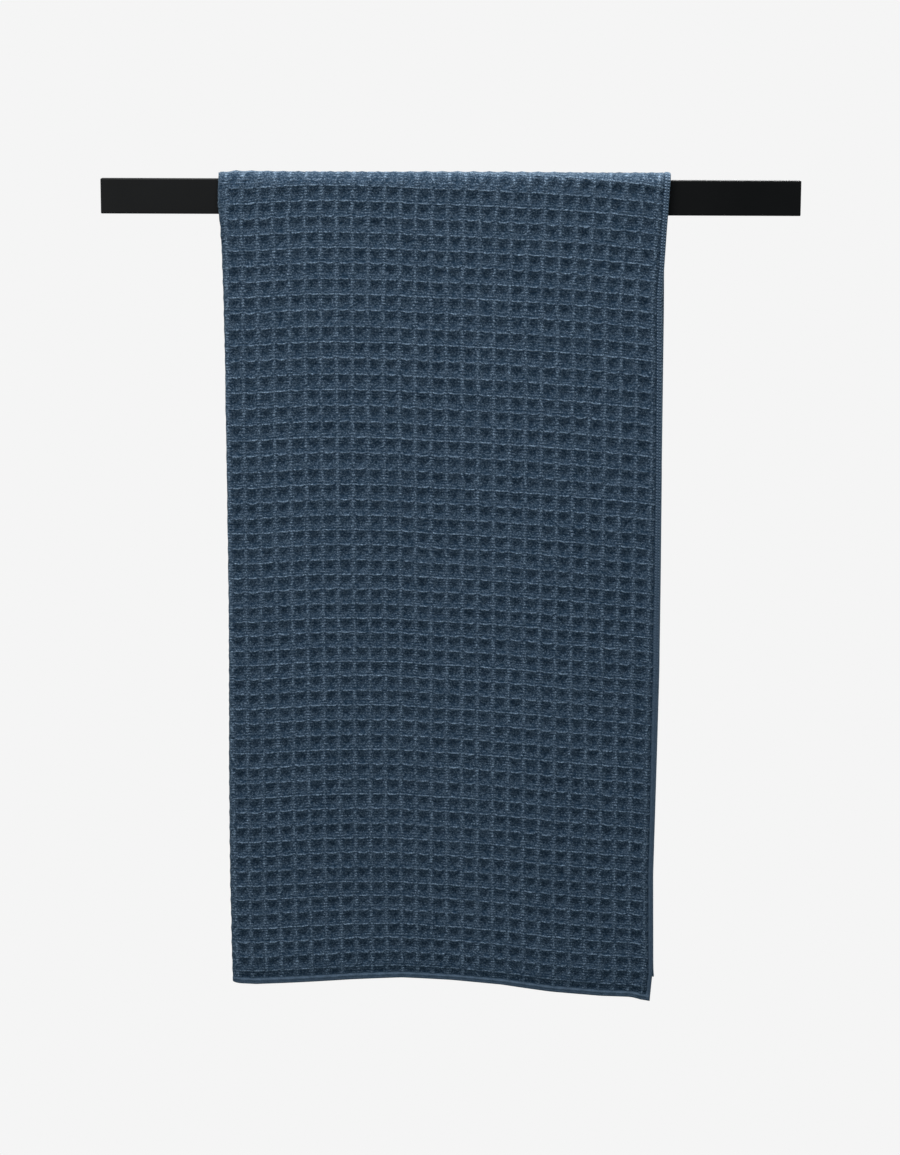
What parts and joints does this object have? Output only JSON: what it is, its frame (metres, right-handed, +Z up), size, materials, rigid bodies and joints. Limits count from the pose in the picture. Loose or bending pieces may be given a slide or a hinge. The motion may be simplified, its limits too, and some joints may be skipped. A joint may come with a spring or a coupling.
{
  "type": "waffle bath towel hung on a flat wall bar",
  "caption": "Waffle-weave bath towel folded in half lengthwise and hung over a flat black wall bar.",
  "frame": {"origin": "centre of the left post's wall face", "axes": "+Z up; +Y towards the wall, out of the posts' wall faces; +X along the bar, from the towel's fold to its side hems"},
  "size_m": [0.6, 0.0662, 0.7378],
  "materials": {
    "waffle_cloth": "matte, fuzzy cotton waffle weave",
    "black_coating": "matte powder coat"
  },
  "bodies": {
    "root": {"towel": "waffle_cloth", "bar": "black_coating", "post_left": "black_coating", "post_right": "black_coating"}
  },
  "joints": []
}
